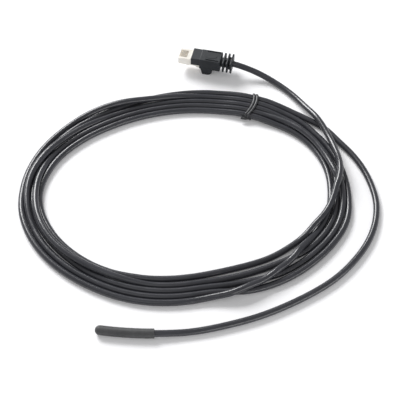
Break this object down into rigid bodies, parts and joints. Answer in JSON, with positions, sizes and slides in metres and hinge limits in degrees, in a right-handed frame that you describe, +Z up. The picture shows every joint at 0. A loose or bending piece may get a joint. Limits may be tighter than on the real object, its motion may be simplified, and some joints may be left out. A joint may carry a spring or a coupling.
{
  "type": "temperature probe",
  "caption": "Slim black sensing head on a round black lead, coiled and tied, ending in a clear modular plug with a moulded boot, latch hood and ribbed strain relief.",
  "frame": {"origin": "on the floor under the middle of the sensing head", "axes": "+X along the sensing head from its tip towards its lead; +Y across the floor towards the coil and the plug; +Z up"},
  "size_m": [0.2791, 0.2867, 0.016],
  "materials": {
    "sleeve": "matte black shrunk sleeve",
    "jacket": "semi-gloss black flexible jacket",
    "boot": "satin black flexible moulding",
    "tie": "black plastic over a soft wire",
    "resin": "dark cast resin",
    "bead": "dipped glass",
    "wire": "tinned wire",
    "splice": "thin insulating tube",
    "core": "insulated core",
    "clear_plug": "clear moulded plastic",
    "contact": "gold-plated blade"
  },
  "bodies": {
    "probe": {"probe_sleeve": "sleeve", "tip_resin": "resin", "sensing_bead": "bead", "bead_leg_1": "wire", "bead_leg_2": "wire", "splice_sleeve_1": "splice", "splice_sleeve_2": "splice", "probe_core_1": "core", "probe_core_2": "core", "probe_lead": "jacket", "coil": "jacket", "plug_lead": "jacket", "tie": "tie", "plug_housing": "clear_plug", "contact_1": "contact", "contact_2": "contact", "contact_3": "contact", "contact_4": "contact", "contact_5": "contact", "contact_6": "contact", "contact_7": "contact", "contact_8": "contact", "plug_core_1": "core", "plug_core_2": "core", "boot": "boot"},
    "latch": {"release_latch": "clear_plug"}
  },
  "joints": [
    {"name": "latch_press", "type": "hinge", "parent": "probe", "child": "latch", "pos_m": [0.01657, 0.27656, 0.0059], "axis": [-0.1478, -0.989, 0], "range_deg": [0, 8], "stiffness_Nm_per_rad": 0.5}
  ]
}
